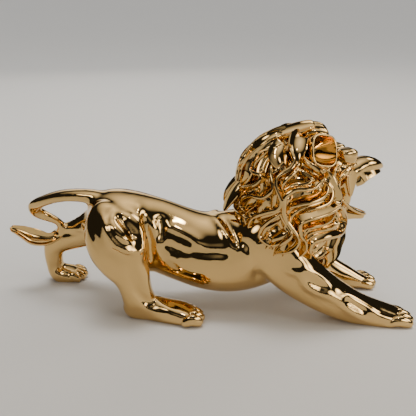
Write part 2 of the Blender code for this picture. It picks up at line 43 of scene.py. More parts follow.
place = {
    "middle": (-3.45, 8.7),  # the middle of the drawing's footprint, which stands on the origin
    "sole": 1.2,  # ground off under the paws
    "pitch": 20.0,  # degrees that the photograph looks down
}


def say(text):
    print("lion:", text)


# Helpers

def unit(rows):
    return rows / np.maximum(np.linalg.norm(rows, axis=1, keepdims=True), 1e-9)


def smoothRows(rows, count):
    # a smooth curve through rows of figures, read at even steps
    rows = np.array(rows, float)
    padded = np.vstack([2 * rows[0] - rows[1], rows, 2 * rows[-1] - rows[-2]])
    t = np.linspace(0, len(rows) - 1, count)
    first = np.minimum(t.astype(int), len(rows) - 2)
    f = (t - first)[:, None]
    a, b, c, d = (padded[first + k] for k in range(4))
    return 0.5 * (2 * b + (c - a) * f + (2 * a - 5 * b + 4 * c - d) * f**2 + (3 * b - a - 3 * c + d) * f**3)


def sweep(outline, path, outward, wide, high):
    # an outline extruded ring by ring along path, wide across it and high outwards
    along = unit(np.gradient(path, axis=0))
    side = unit(np.cross(outward, along))
    up = np.cross(along, side)
    bm = bmesh.new()
    ring = [bm.verts.new((x, y, 0)) for x, y in outline]
    edges = [bm.edges.new(pair) for pair in zip(ring, ring[1:] + ring[:1])]
    before = Matrix()
    for k, spot in enumerate(path):
        now = Matrix.Identity(4)
        for column, axis in enumerate((side[k] * wide[k], up[k] * high[k], along[k], spot)):
            for row in range(3):
                now[row][column] = axis[row]
        if k:
            made = bmesh.ops.extrude_edge_only(bm, edges=edges)["geom"]
            ring = [item for item in made if isinstance(item, bmesh.types.BMVert)]
            edges = [item for item in made if isinstance(item, bmesh.types.BMEdge) and item.is_boundary]
        bmesh.ops.transform(bm, matrix=now @ before.inverted(), verts=ring)
        before = now
    bmesh.ops.holes_fill(bm, edges=bm.edges[:], sides=0)
    bmesh.ops.recalc_face_normals(bm, faces=bm.faces[:])
    return bm


def limb(rows, sides=24, step=3.0, square=2.0, roll=0.0):
    # a limb through rows of (x, y, z, half width across Y, half depth), round at its ends; square is 2 for an
    # oval section and more for a squarer one; roll leans its top, in degrees, towards the near side, and less
    # so towards its end
    rows = np.array(rows, float)
    reach = np.linalg.norm(np.diff(rows[:, :3], axis=0), axis=1).sum()
    curve = smoothRows(rows, max(8, round(reach / step)))
    t = np.linspace(0, 1, len(curve))
    cap = min(0.25, 0.5 * (rows[0, 4] + rows[-1, 4]) / reach)
    nearEnd = np.clip(np.minimum(t, 1 - t) / cap, 0, 1)
    curve[:, 3:5] *= np.sqrt(1 - (1 - nearEnd) ** 2 * 0.95)[:, None]  # never quite to a point
    angle = np.arange(sides) * 2 * math.pi / sides
    outline = np.stack([np.cos(angle), np.sin(angle)], axis=1)
    outline = np.sign(outline) * np.abs(outline) ** (2 / square)
    along = unit(np.gradient(curve[:, :3], axis=0))
    upward = unit(np.cross(along, np.tile((0.0, 1.0, 0.0), (len(curve), 1))))
    lean = np.radians(np.linspace(roll, 0.3 * roll, len(curve)))[:, None]
    upward = upward * np.cos(lean) - np.array((0.0, 1.0, 0.0)) * np.sin(lean)
    return sweep(outline, curve[:, :3], upward, curve[:, 3], curve[:, 4])


def pitched(degrees):
    return Matrix.Rotation(-math.radians(degrees), 4, "Y")  # raises +X towards +Z


def ball(centre, radii, turn=None, fine=4):
    bm = bmesh.new()
    bmesh.ops.create_icosphere(bm, subdivisions=fine, radius=1.0)
    where = Matrix.Translation(centre) @ (turn or Matrix()) @ Matrix.Diagonal((*radii, 1.0))
    bmesh.ops.transform(bm, matrix=where, verts=bm.verts[:])
    return bm


def together(shapes):
    # one bmesh that holds every shape, still as separate shells
    whole = bmesh.new()
    for bm in shapes:
        piece = bpy.data.meshes.new("shape")
        bm.to_mesh(piece)
        bm.free()
        whole.from_mesh(piece)
        bpy.data.meshes.remove(piece)
    return whole


def asObject(name, bm):
    mesh = bpy.data.meshes.new(name)
    bm.to_mesh(mesh)
    bm.free()
    obj = bpy.data.objects.new(name, mesh)
    bpy.context.scene.collection.objects.link(obj)
    return obj


def asBmesh(obj):
    # the object's mesh as its modifiers leave it; the object is removed
    graph = bpy.context.evaluated_depsgraph_get()
    mesh = bpy.data.meshes.new_from_object(obj.evaluated_get(graph))
    bm = bmesh.new()
    bm.from_mesh(mesh)
    bpy.data.meshes.remove(mesh)
    bpy.data.objects.remove(obj)
    return bm


def fuse(shapes, voxel, rounds):
    # the shapes run together into one skin, with the joins between them eased
    obj = asObject("fuse", together(shapes))
    remesh = obj.modifiers.new("Fuse", "REMESH")
    remesh.mode = "VOXEL"
    remesh.voxel_size = voxel
    ease = obj.modifiers.new("Ease", "SMOOTH")
    ease.factor = 0.5
    ease.iterations = rounds
    return asBmesh(obj)


def boolean(bm, others, operation):
    # MANIFOLD, because EXACT takes minutes on this many shells and leaves open edges
    group = bpy.data.collections.new("operands")
    bpy.context.scene.collection.children.link(group)
    operands = []
    for other in others:
        obj = asObject("operand", other)
        bpy.context.scene.collection.objects.unlink(obj)
        group.objects.link(obj)
        operands.append(obj)
    obj = asObject("whole", bm)
    join = obj.modifiers.new("Join", "BOOLEAN")
    join.operation = operation
    join.solver = "MANIFOLD"
    join.operand_type = "COLLECTION"
    join.collection = group
    result = asBmesh(obj)
    for operand in operands:
        bpy.data.objects.remove(operand)
    bpy.data.collections.remove(group)
    return result


def alongside(spots, normals, way, limit):
    # for each spot within limit of the way: its distance, above 0 to the left as seen from outside, and the
    # share of the way that it lies beside
    reach = np.append(0, np.cumsum(np.linalg.norm(np.diff(way, axis=0), axis=1)))
    off = np.full(len(spots), 1e3)  # too far away for any stroke or wave
    share = np.zeros(len(spots))
    near = np.flatnonzero(((spots > way.min(0) - limit) & (spots < way.max(0) + limit)).all(1))
    here, outward = spots[near], normals[near]
    closest = np.full(len(near), 1e3)
    for k, (start, run) in enumerate(zip(way, np.diff(way, axis=0))):
        t = np.clip((here - start) @ run / (run @ run), 0, 1)
        away = here - start - t[:, None] * run
        gap = np.linalg.norm(away, axis=1)
        nearer = gap < closest
        closest[nearer] = gap[nearer]
        across = unit(np.cross(outward[nearer], run))
        off[near[nearer]] = np.where((across * away[nearer]).sum(1) > 0, gap[nearer], -gap[nearer])
        share[near[nearer]] = (reach[k] + t[nearer] * (reach[k + 1] - reach[k])) / reach[-1]
    return off, share


strokeSet = {
    "deep": 34.0,  # how far from its plane a stroke reaches
    "facing": (-0.25, 0.15),  # share of the skin's normal towards the side, where strokes start and are full
    "fade": 0.2,  # share of its length over which each end fades
    "slope": 1.5,  # power of its slope, which is sharpest at the middle
}


def carve(bm, plane, side, strokes):
    # raises or sinks the skin that faces -Y or +Y, as side says, beside each stroke. A stroke is drawn as the
    # camera's height sees it, on the upright plane y = plane: (height and width on its left, height and width
    # on its right, way), left as seen from -Y.
    bm.normal_update()
    verts = bm.verts[:]
    spots = np.array([vert.co for vert in verts])
    normals = np.array([vert.normal for vert in verts])
    behind = spots[:, 1] - plane
    none, full = strokeSet["facing"]
    facing = np.clip((side * normals[:, 1] - none) / (full - none), 0, 1) * (np.abs(behind) < strokeSet["deep"])
    lowered = side * behind * math.tan(math.radians(place["pitch"]))
    flat = np.stack([spots[:, 0], 0 * behind, spots[:, 2] - lowered], axis=1)
    towards = np.tile((0.0, -1.0, 0.0), (len(verts), 1))
    shift = np.zeros(len(verts))
    for leftHeight, leftWide, rightHeight, rightWide, way in strokes:
        way = smoothRows(way, 5 * len(way))
        way = np.stack([way[:, 0], 0 * way[:, 0], way[:, 1]], axis=1)
        off, share = alongside(flat, towards, way, max(leftWide, rightWide))
        fade = np.clip(np.minimum(share, 1 - share) / strokeSet["fade"], 0, 1)
        fade = fade * fade * (3 - 2 * fade)
        wide = np.where(off > 0, leftWide, rightWide)
        high = np.where(off > 0, leftHeight, rightHeight)
        shift += high * fade * np.clip(1 - np.abs(off) / wide, 0, 1) ** strokeSet["slope"]
    shift *= facing
    for vert, move in zip(verts, normals * shift[:, None]):
        vert.co += Vector(move)


def keepLargest(bm):
    # drops the crumbs that the joins leave beside the one skin
    unseen = set(bm.verts)
    shells = []
    while unseen:
        shell, edge = set(), [unseen.pop()]
        while edge:
            vert = edge.pop()
            shell.add(vert)
            around = {link.other_vert(vert) for link in vert.link_edges} & unseen
            unseen -= around
            edge.extend(around)
        shells.append(shell)
    shells.sort(key=len)
    crumbs = [vert for shell in shells[:-1] for vert in shell]
    bmesh.ops.delete(bm, geom=crumbs, context="VERTS")


def settle(bm, rounds):
    for _ in range(rounds):
        bmesh.ops.smooth_vert(bm, verts=bm.verts[:], factor=0.5, use_axis_x=True, use_axis_y=True,
                              use_axis_z=True)


# Section of a leaf or a tress, with rolled edges and a hollow between them, in shares of its half width and
# thickness.
leafOutline = [
    (-1.0, 0.1), (-0.86, -0.5), (-0.45, -0.9), (0, -1.0), (0.45, -0.9), (0.86, -0.5), (1.0, 0.1),
    (0.97, 0.42), (0.86, 0.5), (0.72, 0.32), (0.4, 0.0), (0, -0.1), (-0.4, 0.0), (-0.72, 0.32), (-0.86, 0.5),
    (-0.97, 0.42),
]


def leaf(rows, facing, step=2.0):
    # a tuft whose hollow is turned to facing, through rows of (x, y, z, half width, thickness)
    rows = np.array(rows, float)
    reach = np.linalg.norm(np.diff(rows[:, :3], axis=0), axis=1).sum()
    curve = smoothRows(rows, max(8, round(reach / step)))
    t = np.linspace(0, 1, len(curve))
    cap = min(0.3, 0.5 * (rows[0, 3] + rows[-1, 3]) / reach)
    nearEnd = np.clip(np.minimum(t, 1 - t) / cap, 0, 1)
    curve[:, 3:5] *= np.sqrt(1 - (1 - nearEnd) ** 2 * 0.95)[:, None]
    outward = np.tile(np.array(facing, float), (len(curve), 1))
    return sweep(leafOutline, curve[:, :3], outward, curve[:, 3], curve[:, 4])


# Body

bodySet = {
    "voxel": 1.9,
    "ease": 12,  # rounds of easing where thighs and torso join
    "easeAll": 5,  # and where the feet, forelegs, tail and muscles join them
    "settle": 4,  # rounds of easing after the strokes
}

# Rows of (x, y, z, half width, half depth) along the middle of each limb.
torsoRows = [
    (-119, 6, 96, 9, 11), (-111, 6, 96, 22, 21), (-97, 5, 94.5, 30, 28.5), (-80, 4, 89, 33, 33),
    (-57, 3, 79, 26, 37), (-37, 2, 71, 26.5, 37.5), (-17, 1, 64, 31, 38), (2, 0, 60, 34.5, 40),
    (22, 0, 60, 36, 42), (42, 0, 64, 36, 41), (62, 0, 73, 34, 39), (82, 0, 86, 29, 34), (98, 0, 100, 18, 24),
]
nearHindRows = [
    (-84, -8, 112, 9, 14), (-88, -14, 104, 17, 24), (-89, -21, 90, 21, 28), (-86, -26, 76, 20, 28),
    (-80, -30, 62, 16, 24), (-73, -31, 47, 12.5, 18), (-69, -31, 33, 11, 16), (-67, -30, 20, 11, 15.5),
    (-66, -29, 10, 10, 14),
]
nearHindFootRows = [
    (-83, -25, 10, 6, 7), (-75, -26, 11.5, 10, 11), (-58, -28, 12.5, 11, 12.5), (-43, -31, 10.5, 12, 10.5),
    (-29, -34, 9.5, 13, 9.5), (-17, -36, 7.5, 12.5, 7.5), (-12, -37, 6, 11, 6),
]
farHindRows = [
    (-84, 14, 110, 10, 16), (-91, 22, 97, 16, 24), (-101, 29, 84, 16, 23), (-116, 37, 71, 14, 19),
    (-134, 44, 61, 12, 16), (-151, 49, 53.5, 11, 14.5), (-163, 52, 46, 10.5, 13), (-167.5, 54, 34, 10, 10.5),
    (-167.5, 55, 22, 9.5, 9.5), (-166, 55, 12, 9.5, 9.5), (-164, 55, 7, 9, 9),
]
farHindFootRows = [
    (-174, 54, 7, 6, 6), (-167, 55, 9, 10, 9), (-156, 56, 8.5, 11.5, 8.5), (-146, 57.5, 7, 12, 7),
    (-141, 59, 5.5, 10, 5.5),
]
nearForeRows = [
    (46, -14, 96, 10, 14), (57, -22, 83, 16, 25), (70, -28, 66, 17, 26), (86, -31, 50, 17, 23),
    (104, -33, 36, 16, 19.5), (122, -34, 25, 15, 17), (140, -35, 16.5, 14, 14.5), (156, -36, 12, 13.5, 11.5),
    (170, -37, 9, 14, 9), (181, -37.5, 7, 13, 7), (187, -38, 5.5, 10, 5.5),
]
farForeRows = [
    (52, 14, 94, 10, 14), (62, 22, 80, 15, 24), (76, 28, 63, 16, 23), (94, 33, 47, 15.5, 20),
    (112, 37, 33, 14, 16.5), (130, 39, 22, 13, 13.5), (146, 40, 14, 13, 11.5), (158, 41, 9, 13, 9),
    (166, 41.5, 7, 12.5, 7), (172, 42, 5.5, 9.5, 5.5),
]
tailRows = [
    (-84, 4, 102, 10, 9), (-104, 5, 113, 9.5, 7), (-124, 8, 115.5, 9, 6), (-146, 14, 112.5, 8.5, 5.5),
    (-165, 22, 104.5, 7, 5.5), (-177, 30, 95.5, 5, 6.5), (-175, 36, 87, 4.5, 6.5), (-165, 39, 80.5, 4.5, 5),
    (-156, 42, 74, 4, 4), (-153.5, 43, 66, 4.2, 4.2), (-159, 43, 60, 4, 4),
]
muscles = [  # (centre, radii, degrees that it is pitched): shoulders, thigh, knee and the far thigh
    ((47, -15, 74), (27, 26, 41), -28), ((47, 15, 74), (27, 25, 41), -28),
    ((-80, -31.5, 84), (28, 17.5, 15), -55), ((-68, -31, 73), (12, 14.5, 17), -30),
    ((-104, 31, 82), (28, 15.5, 16), 35),
]
nearStrokes = [
    (-4.5, 5, -4.5, 4, [(-62, 113), (-60, 103), (-58, 93), (-55, 82), (-54, 70), (-53, 56)]),  # thigh to flank
    (1.5, 4, 1.5, 3, [(-54, 111), (-52, 101), (-49, 90), (-49, 78), (-51, 67)]),
    (-3.5, 6, -3.5, 9, [(-46, 111), (-43, 97), (-44, 81)]),  # hollow of the flank
    (2.5, 9, 2.5, 5, [(-42, 100), (-33, 96), (-25, 92), (-17, 88), (-10, 82), (-9, 74)]),  # last rib
    (-2.5, 3, -2.5, 8, [(-44, 83), (-34, 78), (-25, 74), (-15, 69)]),
    (-1.5, 8, -1.5, 8, [(-20, 74), (-5, 71), (8, 71), (22, 69)]),  # belly
    (3.0, 4, 3.0, 6, [(0, 112), (10, 102), (17, 92), (22, 81), (26, 68)]),  # edge of the shoulder blade
    (-3.0, 6, -3.0, 7, [(12, 110), (22, 95), (31, 77)]),
    (-3.6, 8, -3.6, 6, [(31, 89), (39, 73), (44, 58), (49, 38)]),  # armpit
    (2.4, 9, -2.6, 10, [(-90, 79), (-80, 74), (-73, 71), (-67, 70.5), (-61, 72), (-54, 74)]),  # over the shank
    (-1.6, 4, -1.6, 3, [(-83, 120), (-91, 114), (-92, 105), (-90, 96), (-86, 88), (-79, 82), (-70, 77)]),
    (1.8, 5, 1.8, 5, [(-89, 113), (-87, 101), (-80, 91), (-70, 82)]),
    (1.8, 5, 1.8, 5, [(-77, 115), (-69, 105), (-64, 95), (-62, 84)]),
    (-4.4, 5, -4.4, 5, [(-84, 113), (-78, 104), (-72, 96), (-66, 86)]),  # slit in the thigh's muscle
    (1.8, 3, 1.8, 5, [(-99, 116), (-94, 103), (-91, 94), (-86, 85), (-79, 76)]),  # hamstring
    (2.5, 8, 2.5, 7, [(-67, 126), (-65, 113), (-63, 99), (-61, 86), (-60, 77)]),  # front of the thigh
    (2.0, 3, 2.0, 7, [(-57, 66), (-57, 46), (-56, 34), (-49, 23), (-40, 16), (-27, 10)]),  # shin
    (-3.5, 6, -3.5, 7, [(-76, 66), (-72, 50), (-68, 35), (-60, 23), (-48, 15)]),
    (1.5, 4, 1.5, 4, [(-80, 64), (-77, 46), (-74, 31), (-67, 20), (-56, 13), (-40, 5)]),  # heel
    (-1.3, 3, -1.3, 3, [(-107, 96), (-103, 83), (-98, 67)]),
    (3.2, 5, 3.2, 7, [(62, 66), (74, 56), (83, 53), (88, 47), (92, 40), (99, 35), (109, 31), (117, 28),
                      (124, 23), (130, 17), (138, 11), (146, 6), (158, 2)]),  # outer edge of the foreleg
    (-3.0, 5, -3.0, 5, [(88, 50), (99, 42), (111, 36)]),
    (2.0, 4, 2.0, 4, [(84, 58), (95, 54), (105, 49), (113, 41), (118, 32)]),
    (-3.0, 4, -3.0, 4, [(127, 26), (140, 18), (151, 10)]),
    (2.0, 4, 2.0, 4, [(122, 33), (135, 29), (145, 23), (155, 16), (162, 9)]),
    (1.8, 3, 1.8, 4, [(-54, 61), (-44, 64), (-38, 66), (-31, 64), (-25, 58), (-17, 54), (-8, 52),
                      (2, 49)]),  # skin fold before the thigh
]
farStrokes = [
    (-4.0, 5, -4.0, 5, [(-60, 122), (-60, 104), (-66, 84)]),
    (-3.5, 6, -3.5, 9, [(-46, 111), (-43, 97), (-44, 81)]),
    (2.5, 9, 2.5, 5, [(-42, 100), (-33, 96), (-25, 92), (-17, 88), (-10, 82), (-9, 74)]),
    (3.0, 4, 3.0, 6, [(0, 112), (10, 102), (17, 92), (22, 81), (26, 68)]),
    (-3.0, 6, -3.0, 7, [(12, 110), (22, 95), (31, 77)]),
    (-4.5, 6, -4.5, 4, [(36, 89), (44, 73), (49, 58), (54, 38)]),
    (2.2, 5, 2.2, 6, [(76, 62), (92, 48), (108, 38), (124, 26), (138, 14)]),
    (-2.2, 4, -2.2, 4, [(94, 56), (108, 45), (120, 36)]),
    (-2.6, 4, -2.6, 4, [(-88, 108), (-98, 98), (-110, 88), (-122, 80)]),
    (2.0, 7, 2.0, 5, [(-84, 118), (-104, 102), (-122, 86), (-142, 71), (-158, 60)]),
]
innerStrokes = [  # the far hind leg as the camera sees it behind the near one
    (1.6, 4, 1.6, 5, [(-165, 60), (-154, 64), (-146, 63), (-126, 61)]),
    (-2.0, 4, -2.0, 5, [(-163, 50), (-150, 57), (-126, 56)]),
    (-2.2, 4, -2.2, 4, [(-163, 24), (-161, 15), (-154, 10), (-141, 7)]),
]
relief = [(-32, -1, nearStrokes), (32, 1, farStrokes), (54, -1, innerStrokes)]  # (plane, side, strokes)


def makeBody():
    softShapes = [limb(torsoRows, sides=32), limb(nearHindRows, square=2.4), limb(farHindRows, square=2.2)]
    crispShapes = [
        limb(nearForeRows, sides=32, square=3.2, roll=28),
        limb(farForeRows, sides=32, square=3.2, roll=-28),
        limb(nearHindFootRows, square=3.0, roll=24),
        limb(farHindFootRows, square=3.0, roll=20),
        limb(tailRows, step=2, square=3.0),
    ]
    crispShapes += [ball(centre, radii, pitched(turn)) for centre, radii, turn in muscles]
    soft = fuse(softShapes, bodySet["voxel"], bodySet["ease"])
    body = fuse([soft, *crispShapes], bodySet["voxel"], bodySet["easeAll"])
    for plane, side, strokes in relief:
        carve(body, plane, side, strokes)
    settle(body, bodySet["settle"])
    say("body, %d faces" % len(body.faces))
    return body


# Paws

paws = [  # middle of the row of toes, the way across it, half sizes of a toe
    ((-14.5, -37, 7.5), (-0.25, 1, 0), (9.5, 4.2, 7.2)),
    ((-144, 58, 6.8), (0.1, 1, 0), (9, 3.9, 6.5)),
    ((183.6, -37.5, 6.8), (-0.1, 1, 0), (13, 4.3, 6.6)),
    ((168, 42, 6.8), (0.05, 1, 0), (12, 4.1, 6.4)),
]
toeSet = {
    "apart": 1.62,  # from one toe to the next, in half widths of a toe
    "splay": 3.0,  # degrees from one toe to the next
    "order": ((-1.5, -2.6), (-0.5, 0.8), (0.5, 1.2), (1.5, -1.8)),  # (place in the row, how far ahead of it)
}
# Rows of (x, z, half width, half height) of a toe, in shares of its half sizes.
toeRows = [(-1.1, -0.5, 0.5, 0.4), (-0.6, -0.1, 0.8, 0.7), (-0.1, 0.2, 1.0, 0.9), (0.35, 0.02, 0.98, 0.85),
           (0.75, -0.25, 0.8, 0.66), (1.0, -0.42, 0.45, 0.4)]


def toe(centre, size, turn):
    # a toe that humps at its knuckle and runs down to a blunt point, along X before it is turned
    rows = [(x * size[0], 0, z * size[2], wide * size[1], high * size[2]) for x, z, wide, high in toeRows]
    bm = limb(rows, sides=16, step=1.5)
    bmesh.ops.transform(bm, matrix=Matrix.Translation(centre) @ turn, verts=bm.verts[:])
    return bm


def makeToes():
    toes = []
    for middle, across, size in paws:
        middle, across = Vector(middle), Vector(across).normalized()
        forward = Vector((across.y, -across.x, 0))
        for spot, lead in toeSet["order"]:
            centre = middle + across * (spot * size[1] * toeSet["apart"]) + forward * lead
            heading = math.atan2(forward.y, forward.x) + math.radians(toeSet["splay"] * spot)
            toes.append(toe(centre, size, Matrix.Rotation(heading, 4, "Z")))
    return toes


# Head

headSet = {
    "centre": Vector((117.0, 3.0, 137.0)),
    "turn": 20.0,  # degrees to the lion's left
    "voxel": 1.0,
    "ease": 3,
}
earSet = {
    "spot": (-21, 22, 32),  # middle of its mouth, from the head's centre
    "facing": (0.25, 0.9, 0.33),
    "radius": 15.0,
    "depth": 24.0,
    "wall": 1.9,
    "square": 3.4,  # power of the rounded square that its mouth is
    "roll": -14.0,  # degrees that the square leans forward
    "lap": 0.3,  # how far the cut for its hollow goes into the wall
    "above": 0.9,  # and above its mouth
}


def spun(outline, side):
    # an outline of (radius, height) turned once round and drawn out to a rounded square, in the ear's place
    bm = bmesh.new()
    line = [bm.verts.new((radius, 0, height)) for radius, height in outline]
    edges = [bm.edges.new(pair) for pair in zip(line, line[1:])]
    bmesh.ops.spin(bm, geom=line + edges, cent=(0, 0, 0), axis=(0, 0, 1), angle=2 * math.pi, steps=44,
                   use_merge=True)
    bmesh.ops.remove_doubles(bm, verts=bm.verts[:], dist=0.01)
    bmesh.ops.recalc_face_normals(bm, faces=bm.faces[:])
    square = earSet["square"]
    x, y, z = earSet["spot"]
    ahead, outwards, up = earSet["facing"]
    for vert in bm.verts:
        angle = math.atan2(vert.co.y, vert.co.x)
        vert.co.xy *= (abs(math.cos(angle)) ** square + abs(math.sin(angle)) ** square) ** (-1 / square)
    facing = Vector((ahead, side * outwards, up)).to_track_quat("Z", "Y").to_matrix().to_4x4()
    roll = Matrix.Rotation(math.radians(-side * earSet["roll"]), 4, "Z")
    bmesh.ops.transform(bm, matrix=Matrix.Translation((x, side * y, z)) @ facing @ roll, verts=bm.verts[:])
    return bm


def ear(side):
    # the ear's shell with its round rim, and the hollow that is cut free of hair inside it
    radius, depth, wall = earSet["radius"], earSet["depth"], earSet["wall"]
    quarter = [math.pi / 2 * n / 11 for n in range(12)]
    shell = [(radius * math.sin(a), -depth * math.cos(a)) for a in quarter]
    rim = (0.6, 1.2, 1.8, 2.5)  # angles of the points round its rim
    shell += [(radius - wall / 2 + wall / 2 * math.cos(a), wall / 2 * math.sin(a)) for a in rim]
    shell += [((radius - wall) * math.sin(a), -(depth - wall) * math.cos(a)) for a in quarter[::-1]]
    thin = wall - earSet["lap"]
    hollow = [((radius - thin) * math.sin(a), -(depth - thin) * math.cos(a)) for a in quarter]
    hollow += [(radius - thin, earSet["above"]), (0, earSet["above"])]
    return spun(shell, side), spun(hollow, side)


# Rows of (x, y, z, half width, half height) from the head's centre, on its near side and before it is turned.
snoutRows = [
    (14, 0, 1, 15, 11), (22, 0, 2.5, 12.5, 9.2), (27, 0, 4.2, 11.5, 8.7), (32, 0, 6.2, 11, 9),
    (38, 0, 7.2, 10.5, 8.7), (45, 0, 7, 9, 7.1), (50, 0, 6, 7, 5.6), (54, 0, 4.6, 4.8, 3.9),
    (57, 0, 3, 2.6, 2.2),
]
jawRows = [
    (0, 0, -34, 15, 10), (13, 0, -38, 12.5, 7.5), (25, 0, -41, 10.5, 5.2), (34, 0, -43.5, 8.5, 4),
    (40, 0, -45, 6, 3),
]
browRows = [(1, -10, 20.5, 5, 4.5), (6, -10.5, 21.5, 8, 7), (14, -10.5, 21.5, 8, 7), (19, -10, 20.5, 5, 4.5)]
lowerLipRows = [
    (5, -15.5, -20, 1.4, 1.6), (12, -13.5, -27, 1.6, 1.8), (19.3, -11.5, -32.5, 1.7, 1.8),
    (28, -10, -37.5, 1.6, 1.6), (37, -7, -41.5, 1.5, 1.5), (41.5, 0, -43, 1.4, 1.4),
]
# The upper lip's section flares outwards, so that its face looks up. Its rows scale it across and upwards.
lipOutline = [(0, 0), (5.5, 10.5), (7.6, 11.4), (9, 11), (9.3, 5), (8.6, -0.6), (3, -2.2), (0.6, -1.2)]
lipRows = [
    (22, -12, -9, 0.8, 1.0), (27.3, -14.2, -6.6, 1, 1.15), (31.5, -14.4, -4.1, 1, 1.1),
    (37.5, -13.2, -2, 1, 0.95), (45.7, -10, -0.5, 0.85, 0.75), (52, -5.8, -0.2, 0.7, 0.6),
    (56, 0, -0.3, 0.6, 0.5),
]
faceLeaves = [  # rows, and how far the hollow faces ahead and up: the cheek's plate, and two tufts behind it
    ([(8.9, -20.5, 9.5, 4, 2.5), (9.6, -21, 4, 6.6, 3), (10.6, -20, -4, 5.6, 3), (12, -18.3, -11.5, 3.6, 2.5),
      (13.4, -16.5, -18, 1.5, 1.5)], 0.2, 0.25),
    ([(-4.1, -21.5, 17.7, 2, 2.5), (-8.5, -23.5, 12.8, 3, 3), (-9, -24, 6.1, 3, 3),
      (-4.7, -23, -1.4, 1.5, 2)], -0.2, 0.1),
    ([(10.8, -19, 13.5, 1.8, 2), (4.8, -21.5, 10.7, 2.6, 2.6), (-1.1, -23, 6.9, 2.6, 2.6),
      (-5.2, -23, 1.7, 1.5, 2)], 0.0, 0.5),
]


def bothSides(rows):
    # rows that run forward on the near side, round the front and back on the far side
    return rows + [(x, -y, z, wide, high) for x, y, z, wide, high in rows[-2::-1]]


def onSide(rows, side):
    # rows of the near side as they stand on a side, -1 near and 1 far
    return [(x, -side * y, z, wide, high) for x, y, z, wide, high in rows]


def upperLip():
    lip = smoothRows(bothSides(lipRows), 60)
    upright = np.tile((0.0, 0.0, 1.0), (len(lip), 1))
    return sweep(lipOutline, lip[:, :3], upright, lip[:, 3], lip[:, 4])


def makeHead():
    # the shapes run together into one skin, the edges stay crisp, and the hollows are cut from the whole lion
    shapes = [
        ball((-6, 0, 4), (27, 20, 23)),  # skull
        ball((5, 0, 15), (13, 13, 11)),  # forehead
        limb(snoutRows, step=2, square=2.3),
        ball((54.5, 0, 4.5), (3.6, 4.2, 3.4)),  # nose
        ball((11, 0, -18), (10.5, 15, 23)),  # back of the mouth
        limb(jawRows, step=2, square=2.6),
    ]
    edges = [limb(bothSides(lowerLipRows), sides=12, step=1.5), upperLip()]
    hollows = []
    for side in (-1, 1):
        shapes += [
            ball((8, side * 14, 14.5), (6.5, 4, 2.4)),  # under the eye
            ball((6, side * 15, 8), (8, 7, 8)),  # cheekbone
            ball((10, side * 14, -4), (7, 5, 13)),  # cheek
        ]
        shell, hollow = ear(side)
        edges += [
            shell,
            limb(onSide(browRows, side), step=1.5, square=4.0),
            ball((15.5, side * 13, 12.5), (4.4, 4.0, 3.2), fine=3),  # eye
        ]
        edges += [leaf(onSide(rows, side), (ahead, side, up), 1.2) for rows, ahead, up in faceLeaves]
        hollows.append(hollow)
    head = fuse(shapes, headSet["voxel"], headSet["ease"])
    say("head, %d faces" % len(head.faces))
    turn = Matrix.Translation(headSet["centre"]) @ Matrix.Rotation(math.radians(headSet["turn"]), 4, "Z")
    for bm in (head, *edges, *hollows):
        bmesh.ops.transform(bm, matrix=turn, verts=bm.verts[:])
    return [head, *edges], hollows


# Mane

maneSet = {
    "centre": np.array((80.0, 1.0, 117.0)),
    "radii": np.array((46.0, 42.0, 61.0)),
    "overShoulders": 13.0,  # how much wider it is on each side, low down
    "lean": 28.0,  # degrees that the crown leans forward from straight up
    "inwards": 3.0,  # how far the core lies under the locks' feet
}
lockSet = {
    "crest": 12.0,  # how far a great lock's crest stands off the core
    "strand": 4.8,  # from one strand to the next
    "bulge": 2.1,  # how far a strand stands up between its neighbours
    "curl": 2.5,  # how far a tip stands out
    "sunk": 4.0,  # how far a root goes into the core
    "rings": 4.0,  # rings of a lock for each point of its way
}
# Section of a lock's crest, which hangs over the steep side: (across, height above the crest).
crestRim = [(-1.8, -0.5), (-0.6, 0.1), (0.8, -0.1), (1.8, -1.0), (2.1, -2.2), (1.4, -3.8), (0.2, -5.2)]

